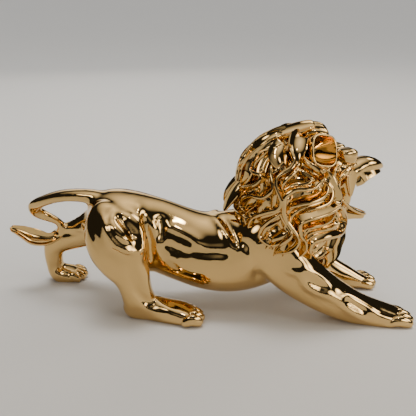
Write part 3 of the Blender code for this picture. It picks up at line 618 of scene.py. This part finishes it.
# A lock is (share of full height, width on its left, width on its right, way). Its way goes from root to tip,
# as degrees down from the crown and degrees round it, 0 in front and -90 on the near side. The great locks
# come first, and the thin ones that fill in between them last.
locks = [
    (1.0, 4, 16, [(45, -77), (45, -70), (49, -62), (54, -56), (60, -50), (66, -49), (72, -54), (78, -63),
                  (84, -72), (89, -79), (95, -83), (100, -81), (104, -76), (107, -69), (114, -64), (122, -65),
                  (131, -71)]),
    (1.0, 4, 14, [(62, -59), (68, -43), (73, -27), (79, -17), (84, -17), (89, -22), (92, -42), (97, -55),
                  (103, -62), (109, -61), (116, -53), (126, -40)]),
    (1.0, 5, 14, [(42, -120), (47, -105), (48, -96), (49, -88), (51, -82), (55, -80), (60, -83), (66, -87),
                  (70, -94), (74, -101), (79, -105), (84, -107), (89, -105), (95, -102), (99, -97), (102, -90),
                  (105, -82), (110, -77), (118, -77), (126, -82), (135, -90), (148, -94)]),
    (1.0, 9, 6, [(44, -157), (47, -144), (49, -133), (52, -124), (56, -117), (62, -116), (68, -119), (74, -122),
                 (79, -121), (83, -117), (87, -111), (90, -108), (96, -109), (102, -115), (110, -123),
                 (119, -131), (128, -135), (136, -135), (140, -127), (141, -115)]),
    (1.0, 10, 6, [(48, -179), (61, -177), (70, -180), (80, -186), (86, -187), (92, -183), (100, -184),
                  (107, -185), (116, -182)]),
    (0.9, 9, 8, [(61, -155), (68, -157), (74, -157), (80, -157), (85, -153), (85, -146), (83, -139),
                 (87, -137), (94, -142), (100, -152), (108, -170), (118, -182)]),
    (0.9, 6, 9, [(66, -133), (72, -134), (76, -131), (80, -125), (85, -121), (90, -122), (96, -126),
                 (100, -134), (103, -141), (109, -149), (118, -155), (121, -147), (117, -137)]),
    (0.9, 8, 5, [(102, -150), (115, -166), (124, -176), (127, -167), (124, -147), (127, -140), (139, -148),
                 (148, -146), (157, -144)]),
    (0.8, 9, 5, [(97, -104), (104, -108), (112, -113), (121, -117), (129, -117), (132, -110), (132, -101),
                 (136, -96)]),
    (0.8, 5, 8, [(97, -100), (102, -94), (107, -88), (112, -87), (120, -91), (128, -98), (138, -103)]),
    (0.7, 3, 6, [(54, -68), (60, -67), (67, -71), (74, -79), (81, -89), (88, -97), (94, -100)]),
    (0.7, 3, 6, [(74, -45), (81, -50), (87, -59), (93, -69), (99, -75), (105, -73)]),
    (0.7, 4, 6, [(57, -109), (64, -111), (72, -114), (79, -114), (84, -110)]),
    (1.0, 5, 14, [(90, -10), (100, -4), (110, -12), (118, -26), (126, -36)]),
    (0.66, 2, 4, [(50, -72), (54, -65), (58, -59), (63, -58), (69, -61), (75, -69), (81, -78), (87, -84)]),
    (0.66, 2, 4, [(59, -112), (58, -103), (58, -94), (59, -90), (64, -93), (70, -100), (75, -106), (82, -110)]),
    (0.66, 2, 4, [(75, -49), (79, -39), (84, -39), (89, -50), (94, -62), (100, -69), (106, -69)]),
    (0.6, 2, 4, [(64, -157), (71, -159), (77, -158), (80, -151), (79, -143), (79, -135)]),
    (0.6, 4, 2, [(54, -131), (60, -127), (68, -127), (75, -130), (82, -130), (87, -128)]),
    (0.6, 4, 2, [(119, -126), (113, -121), (106, -114), (99, -108), (93, -103)]),
    (0.6, 4, 2, [(135, -109), (129, -114), (120, -113), (113, -108), (105, -102)]),
]
tresses = [  # (half width, thickness, way): smooth hollow locks between the great ones and at the mane's edge
    (9, 7, [(42, -153), (51, -144), (59, -138), (64, -130), (67, -121)]),
    (9, 7, [(19, -150), (29, -141), (41, -127), (48, -120), (54, -112)]),
    (7, 7, [(36, -168), (48, -166), (62, -168), (75, -173), (89, -179), (101, -183), (113, -188)]),
    (6, 7, [(46, -150), (55, -152), (68, -155), (80, -157), (90, -154), (99, -158), (115, -172)]),
    (5, 6, [(56, -146), (63, -145), (72, -144), (81, -140), (86, -133), (95, -133), (105, -144)]),
    (4, 6, [(98, -140), (105, -151), (116, -165), (124, -176)]),
    (6, 6, [(100, -130), (107, -137), (121, -149), (133, -154), (142, -144), (152, -134)]),
    (5, 6, [(126, -106), (132, -110), (149, -116), (160, -106)]),
    (5, 6, [(108, -86), (117, -87), (129, -89), (140, -83), (148, -70)]),
]
forelock = {
    # (x, z, half size), from root to tip
    "rows": [(88, 183, 3.2), (96, 186, 3.8), (104, 185, 3.6), (109, 179.5, 3.2), (110, 172, 1.6)],
    "across": (-8.5, -3, 2.5, 8, 13),  # y of each strand over the brow
    "middle": 2.5,
    "drop": 0.035,  # how fast the strands lie lower towards the sides
}
leaves = [  # rows of (x, y, z, half width, thickness), and the way that the hollow faces
    ([(56, -1, 172, 4, 4), (66, -3, 178.5, 7, 5), (76, -4, 182, 8, 5), (86, -5, 185, 8, 5),
      (94, -6, 187.5, 6.5, 4.5), (98, -6.5, 188, 3, 3)], (0.0, -0.45, 0.9)),  # crown
    ([(50, 8, 170, 5, 5), (62, 9, 178, 9, 6), (76, 9, 182, 9, 6), (90, 9, 184, 5, 4)], (0.0, 0.3, 0.95)),
    ([(38, -10, 138, 5, 5), (28, -13, 128, 6, 5), (20, -14, 117, 4.5, 4),
      (15, -14, 107, 1.5, 1.5)], (-0.4, -0.7, 0.6)),  # nape
    ([(38, 12, 138, 5, 5), (28, 14, 128, 6, 5), (20, 14, 117, 4.5, 4),
      (16, 13, 107, 1.5, 1.5)], (-0.4, 0.7, 0.6)),
    ([(104, -15, 86, 4, 4), (108, -18, 75, 5.5, 5), (104, -19.5, 65, 5.5, 5), (107, -19, 55, 4, 4),
      (103, -19, 46, 1.5, 1.5)], (0.5, -0.85, 0.1)),  # beard
    ([(113, -8, 93, 5, 5), (118, -13, 81, 6.5, 6), (114, -16, 70, 6.5, 6), (117, -17, 58, 5, 5),
      (112, -16.5, 46, 1.5, 1.5)], (0.5, -0.85, 0.1)),
    ([(121, -3, 93, 5, 5), (128, -6, 81, 6.5, 6), (125, -9, 70, 6.5, 6), (124, -11, 60, 4.5, 4.5),
      (119, -12, 50, 1.5, 1.5)], (0.6, -0.75, 0.1)),
    ([(121, 8, 93, 5, 5), (128, 10, 81, 6.5, 6), (125, 13, 70, 6.5, 6), (124, 15, 60, 4.5, 4.5),
      (119, 16, 50, 1.5, 1.5)], (0.6, 0.75, 0.1)),
    ([(113, 14, 93, 5, 5), (118, 19, 81, 6.5, 6), (114, 22, 70, 6.5, 6), (116, 23, 58, 5, 5),
      (111, 23, 47, 1.5, 1.5)], (0.5, 0.85, 0.1)),
    ([(-153, 43.5, 64, 4, 4.5), (-160, 42.5, 58, 5, 5), (-168, 40.5, 55.5, 6.5, 6), (-175, 38.5, 56.5, 8.2, 7),
      (-183, 36, 60, 9, 7), (-191, 33.5, 65.5, 7, 6), (-198, 31.5, 69.5, 4.8, 4.5),
      (-204.2, 30, 72, 3, 3)], (0.1, -0.75, 0.6)),  # tuft of the tail
]


def onMane(ring, inwards=0.0):
    # from a unit sphere to the mane, which is wider low down, over the shoulders
    spots = maneSet["centre"] + ring * (maneSet["radii"] - inwards)
    low = np.clip((maneSet["centre"][2] - spots[:, 2] - 5) / 35, 0, 1)
    spots[:, 1] += maneSet["overShoulders"] * ring[:, 1] * low * low * (3 - 2 * low)
    return spots


def manePoint(down, turn):
    # the point of the mane that lies so far down from the crown and so far round it
    ring = np.stack([np.sin(down) * np.cos(turn), np.sin(down) * np.sin(turn), np.cos(down)], axis=-1)
    return onMane(ring @ np.array(Matrix.Rotation(math.radians(maneSet["lean"]), 3, "Y")).T)


def mirrored(lock):
    # the same lock on the far side; its front follows the turned face
    high, leftWide, rightWide, way = lock
    way = [(down, headSet["turn"] * (1 + math.cos(math.radians(turn))) - turn) for down, turn in way]
    return high, rightWide, leftWide, way


def rise(s, root):
    # how far a lock is lifted along its way: sunk over the share that is its root, and curling out at its tip
    return lockSet["curl"] * s**4 - lockSet["sunk"] * np.clip(1 - s / root, 0, 1)


def lockOutline(wide, high, strands):
    # from the foot of the widest side over the strands, which rise to the crest, and down the steep side
    outline = []
    ends = np.cumsum([0.0] + [1 + 0.45 * math.sin(2.3 * k + wide) for k in range(strands)])  # of uneven widths
    for start, end in zip(ends / ends[-1], ends[1:] / ends[-1]):
        for part, bulge in ((0, 0), (0.25, 0.8), (0.7, 0.8)):
            x = 1 - start - part * (end - start)
            swell = lockSet["bulge"] * strands * (end - start) * bulge * min(1, 5 * x)
            outline.append((-wide * x, high * (1 - x) ** 2.4 - (wide * x) ** 2 / 100 + swell))
    outline = [(-wide, outline[0][1] - 5)] + outline
    outline += [(x, high + y) for x, y in crestRim]
    return outline + [(0.0, high * 0.4), (1.4, 0.4), (2.4, -5), (-wide / 2, -7)]


def lock(share, leftWide, rightWide, way):
    # a lock swept along its way
    wide, high = max(leftWide, rightWide), lockSet["crest"] * share
    rings = max(16, round(len(way) * lockSet["rings"]))
    curve = np.radians(smoothRows(way, rings))
    path = manePoint(curve[:, 0], curve[:, 1])
    outward = unit((path - maneSet["centre"]) / maneSet["radii"] ** 2)
    s = np.linspace(0, 1, rings)
    body = np.sin(math.pi * np.clip(s * 0.8 + 0.14, 0, 1)) ** 0.6  # it is fullest in its first half
    body[-1] = 0.12
    path = path + outward * rise(s, 0.12)[:, None]
    along = unit(np.gradient(path, axis=0))
    toFoot = unit(np.cross(outward, along)) * (1 if leftWide > rightWide else -1)
    spacing = np.linalg.norm(np.gradient(path, axis=0), axis=1)
    bend = (np.gradient(along, axis=0) * toFoot).sum(1) / spacing
    for _ in range(3):
        bend = np.convolve(np.pad(bend, 1, "edge"), (0.25, 0.5, 0.25), "valid")
    # the foot draws in where the lock turns on it
    spread = (1 + np.clip(bend * wide, 0, None) ** 3) ** (-1 / 3)
    outline = lockOutline(wide, high, max(2, round(wide / lockSet["strand"])))
    turned = [(x if leftWide <= rightWide else -x, y) for x, y in outline]
    taper = (0.35 + 0.65 * body) * (1 - 0.8 * s**12)
    return sweep(turned, path, outward, spread * taper, body)


def tress(wide, high, way):
    # a smooth lock with rolled edges, sunk at its root and curling out at its tip
    curve = np.radians(smoothRows(way, max(14, 5 * len(way))))
    path = manePoint(curve[:, 0], curve[:, 1])
    outward = unit((path - maneSet["centre"]) / maneSet["radii"] ** 2)
    s = np.linspace(0, 1, len(path))
    body = np.sin(math.pi * (0.12 + 0.84 * s)) ** 0.7
    path = path + outward * (0.95 * high * body + rise(s, 0.15))[:, None]
    return sweep(leafOutline, path, outward, wide * body, high * body)


coreSet = {
    "tiers": ((14, 66, 9), (42, 100, 13), (72, 134, 15), (104, 164, 12)),  # (root, tip, waves): degrees down
    "high": 5.5,
    "half": 10.0,  # half width of a wave
    "sway": 10.0,  # degrees that it swings to each side
}


def makeCore():
    # the mane's core under the great locks, with softer waves of hair all round it
    bm = bmesh.new()
    bmesh.ops.create_icosphere(bm, subdivisions=5, radius=1.0)
    verts = bm.verts[:]
    ring = np.array([vert.co for vert in verts])
    spots = onMane(ring, maneSet["inwards"])
    outward = unit(ring / maneSet["radii"])
    height = np.zeros(len(verts))
    for tier, (root, tip, count) in enumerate(coreSet["tiers"]):
        for n in range(count):
            turn = 360 * (n + 0.5 * (tier % 2)) / count - 180
            phase = 1.9 + 1.1 * tier + 0.5 * math.sin(2.4 * n)
            way = [(root + (tip - root) * f, turn + coreSet["sway"] * math.sin(phase + 6 * f))
                   for f in np.linspace(0, 1, 6)]
            curve = np.radians(smoothRows(way, 30))
            off, along = alongside(spots, outward, manePoint(curve[:, 0], curve[:, 1]), 12)
            body = np.sin(math.pi * np.clip(along * 0.78 + 0.16, 0, 1)) ** 0.5
            slope = np.clip(1 - np.abs(off) / coreSet["half"], 0, 1) ** 1.3
            height = np.maximum(height, coreSet["high"] * body * slope)
    for vert, spot in zip(verts, spots + outward * height[:, None]):
        vert.co = spot
    return bm


def makeMane():
    shapes = [makeCore()] + [lock(*row) for row in locks] + [lock(*mirrored(row)) for row in locks]
    for wide, high, way in tresses:
        farWay = mirrored((1.0, wide, wide, way))[3]
        shapes += [tress(wide, high, way), tress(wide, high, farWay)]
    for y in forelock["across"]:
        drop = forelock["drop"] * (y - forelock["middle"]) ** 2
        rows = [(x, y, z - drop, half, half) for x, z, half in forelock["rows"]]
        shapes.append(limb(rows, sides=12, step=1.8))
    shapes += [leaf(rows, facing) for rows, facing in leaves]
    say("mane, %d shapes" % len(shapes))
    return shapes


# Gold plating

def linear(code):
    # sRGB hex to linear
    parts = [int(code[k:k + 2], 16) / 255 for k in (1, 3, 5)]
    return tuple(p / 12.92 if p <= 0.04045 else ((p + 0.055) / 1.055) ** 2.4 for p in parts) + (1.0,)


def addNode(tree, kind, settings=None, links=None):
    node = tree.nodes.new(kind)
    for name, value in (settings or {}).items():
        if hasattr(node, name):
            setattr(node, name, value)
        else:
            node.inputs[name].default_value = value
    for name, source in (links or {}).items():
        tree.links.new(source, node.inputs[name])
    return node


goldSet = {
    "tints": ("#D8B478", "#DFBC7C"),
    "swells": 0.055,  # swells of the glaze to a millimetre, so one in 18 mm
    "lift": 0.4,  # their height in millimetres, as the bump sees it
    "patches": 0.03,  # patches of haze to a millimetre, so one in 33 mm
    "rough": (0.03, 0.09),
}


def goldPlate():
    # vacuum-plated gold over a glazed casting: a mirror with the faint swell of the glaze under it, and with
    # patches where a breath of haze softens the reflections
    material = bpy.data.materials.new("mirrorGoldPlate")
    material.use_nodes = True
    tree = material.node_tree
    shader = tree.nodes["Principled BSDF"]
    shader.inputs["Metallic"].default_value = 1.0
    where = addNode(tree, "ShaderNodeTexCoord").outputs["Object"]
    swellScale, hazeScale = goldSet["swells"] / mm, goldSet["patches"] / mm
    swell = addNode(tree, "ShaderNodeTexNoise", {"Scale": swellScale, "Detail": 1.0}, {"Vector": where})
    haze = addNode(tree, "ShaderNodeTexNoise", {"Scale": hazeScale, "Detail": 4.0}, {"Vector": where})
    low, high = goldSet["rough"]
    span = {"From Min": 0.3, "From Max": 0.7, "To Min": low, "To Max": high}
    rough = addNode(tree, "ShaderNodeMapRange", span, {"Value": haze.outputs["Fac"]})
    tint = addNode(tree, "ShaderNodeMix", {"data_type": "RGBA"}, {"Factor": haze.outputs["Fac"]})
    for socket, code in zip((6, 7), goldSet["tints"]):  # the two colours of the mix
        tint.inputs[socket].default_value = linear(code)
    bump = addNode(tree, "ShaderNodeBump", {"Strength": 0.35, "Distance": goldSet["lift"] * mm},
                   {"Height": swell.outputs["Fac"]})
    tree.links.new(tint.outputs[2], shader.inputs["Base Color"])
    tree.links.new(rough.outputs["Result"], shader.inputs["Roughness"])
    tree.links.new(bump.outputs["Normal"], shader.inputs["Normal"])
    return material


# Statue

statueSet = {
    "merge": 0.003,  # doubles, in millimetres
    "sliver": 0.001,
    "sharp": 50.0,  # degrees past which two faces meet in a crisp edge
}


def setDown(lion):
    # grinds the soles flat, and moves the drawing onto the origin in metres
    everything = lion.verts[:] + lion.edges[:] + lion.faces[:]
    bmesh.ops.bisect_plane(lion, geom=everything, plane_co=(0, 0, place["sole"]), plane_no=(0, 0, 1),
                           clear_inner=True)
    bmesh.ops.holes_fill(lion, edges=lion.edges[:], sides=0)
    x, y = place["middle"]
    bmesh.ops.translate(lion, verts=lion.verts[:], vec=(-x, -y, -place["sole"]))
    bmesh.ops.scale(lion, verts=lion.verts[:], vec=(mm, mm, mm))


def closeSkin(lion):
    # leaves one closed skin with no open edge, and none that more than two faces share
    bmesh.ops.remove_doubles(lion, verts=lion.verts[:], dist=statueSet["merge"] * mm)
    bmesh.ops.dissolve_degenerate(lion, edges=lion.edges[:], dist=statueSet["sliver"] * mm)
    bmesh.ops.delete(lion, geom=[edge for edge in lion.edges if edge.is_wire], context="EDGES")
    for _ in range(2):  # where two skins touch along an edge they are parted and closed again
        touching = [face for edge in lion.edges if len(edge.link_faces) > 2 for face in edge.link_faces]
        bmesh.ops.delete(lion, geom=list(dict.fromkeys(touching)), context="FACES")
        bmesh.ops.holes_fill(lion, edges=[edge for edge in lion.edges if edge.is_boundary], sides=0)
    bmesh.ops.collapse(lion, edges=[edge for edge in lion.edges if edge.is_boundary])  # the last pin holes
    keepLargest(lion)
    bmesh.ops.recalc_face_normals(lion, faces=lion.faces[:])


def makeLion():
    head, hollows = makeHead()
    lion = boolean(makeBody(), [*head, *makeMane(), *makeToes()], "UNION")
    lion = boolean(lion, hollows, "DIFFERENCE")
    say("one skin, %d faces" % len(lion.faces))
    setDown(lion)
    closeSkin(lion)
    obj = asObject("lion_statue", lion)
    obj.data.shade_smooth()
    obj.data.set_sharp_from_angle(angle=math.radians(statueSet["sharp"]))
    obj.data.materials.append(goldPlate())
    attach(obj, "root")
    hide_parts("lion")
    triangles = sum(len(face.vertices) - 2 for face in obj.data.polygons)
    say("statue, %d triangles" % triangles)


# Floor, light and camera

studio = {
    "target": Vector((0, 0, 105)),  # what the camera looks at, in the lion's drawing
    "distance": 620,
    "lens": 640 / 416,  # focal length over width, in pixels of the photograph
    "sensor": 36.0,
    "floor": "#D6D4D0",
    "floorHalf": 14.0,  # metres
    "room": ("#FFFFFF", 0.022),  # colour and strength of the light from all round
    "aim": Vector((0, 0, 0.09)),  # what the lamps point at, in metres
}
washSet = {  # two even lights straight down on the floor, behind the lion and before it
    "size": 14.0,
    "watts": 520.0,
    "spread": 40.0,
    "spots": ((0.0, 6.95, 2.0), (0.0, -7.7, 2.0)),
}
lamps = {  # place in metres, size, brightness and colour of each soft box
    "overhead": ((0.0, 0.15, 1.35), (2.8, 2.6), 1.6, "#FFF8EE"),
    "key": ((-0.8, -1.0, 1.1), (0.8, 0.65), 8.0, "#FFF6E8"),
    "right": ((1.0, -1.0, 0.5), (1.0, 0.7), 8.0, "#FFF6E8"),
    "face": ((1.25, -0.25, 0.65), (0.9, 0.7), 9.0, "#FFF6E8"),
    "rim": ((0.95, 0.8, 1.2), (0.9, 0.7), 7.0, "#FFF8EE"),
    "behind": ((-0.3, 1.55, 0.62), (2.2, 0.85), 2.0, "#FFF8EE"),
    "front": ((0.1, -1.7, 0.75), (1.6, 0.8), 0.4, "#FFF8EE"),
    "spot": ((0.25, -0.55, 1.25), (0.16, 0.16), 60.0, "#FFF8EE"),
}


def makeFloor():
    bm = bmesh.new()
    bmesh.ops.create_grid(bm, x_segments=1, y_segments=1, size=studio["floorHalf"])
    floor = asObject("floor", bm)
    material = bpy.data.materials.new("paleFloor")
    material.use_nodes = True
    shader = material.node_tree.nodes["Principled BSDF"]
    shader.inputs["Base Color"].default_value = linear(studio["floor"])
    shader.inputs["Roughness"].default_value = 0.6
    floor.data.materials.append(material)


def addLamp(name, spot, size, bright, colour):
    # a soft box, brightest at its middle and fading to nothing at its edges
    data = bpy.data.lights.new(name, "AREA")
    data.shape = "RECTANGLE"
    data.size, data.size_y = size
    data.energy = bright * math.pi * size[0] * size[1]
    data.color = linear(colour)[:3]
    data.use_nodes = True
    tree = data.node_tree
    across = addNode(tree, "ShaderNodeNewGeometry").outputs["Parametric"]
    centred = addNode(tree, "ShaderNodeMapping", {"Location": (-1, -1, 0), "Scale": (2, 2, 0)},
                      {"Vector": across})
    fade = addNode(tree, "ShaderNodeTexGradient", {"gradient_type": "SPHERICAL"},
                   {"Vector": centred.outputs["Vector"]})
    tree.links.new(fade.outputs["Fac"], tree.nodes["Emission"].inputs["Strength"])
    lamp = bpy.data.objects.new(name, data)
    lamp.location = spot
    lamp.rotation_mode = "QUATERNION"
    lamp.rotation_quaternion = (studio["aim"] - Vector(spot)).to_track_quat("-Z", "Y")
    lamp.visible_camera = False  # seen in the gold alone
    bpy.context.scene.collection.objects.link(lamp)


def washFloor():
    wash = bpy.data.lights.new("floorWash", "AREA")
    wash.size, wash.energy = washSet["size"], washSet["watts"]
    wash.spread = math.radians(washSet["spread"])
    for spot in washSet["spots"]:
        overFloor = bpy.data.objects.new("floorWash", wash)
        overFloor.location = spot
        overFloor.visible_glossy = False  # it lights the floor alone, and the gold doesn't mirror it
        overFloor.visible_camera = False
        bpy.context.scene.collection.objects.link(overFloor)


def lightRoom():
    world = bpy.data.worlds.new("studio")
    world.use_nodes = True
    background = world.node_tree.nodes["Background"]
    background.inputs["Color"].default_value = linear(studio["room"][0])
    background.inputs["Strength"].default_value = studio["room"][1]
    bpy.context.scene.world = world


def setCamera():
    data = bpy.data.cameras.new("camera")
    data.lens = studio["lens"] * studio["sensor"]
    data.sensor_width = studio["sensor"]
    camera = bpy.data.objects.new("camera", data)
    pitch = math.radians(place["pitch"])
    looking = Vector((0, math.cos(pitch), -math.sin(pitch)))
    x, y = place["middle"]
    offset = Vector((-x, -y, -place["sole"]))
    camera.location = (studio["target"] + offset - looking * studio["distance"]) * mm
    camera.rotation_mode = "QUATERNION"
    camera.rotation_quaternion = looking.to_track_quat("-Z", "Y")
    bpy.context.scene.collection.objects.link(camera)
    bpy.context.scene.camera = camera


def makeStudio():
    makeFloor()
    for name, row in lamps.items():
        addLamp(name, *row)
    washFloor()
    lightRoom()
    setCamera()
    say("studio")


makeStudio()
makeLion()
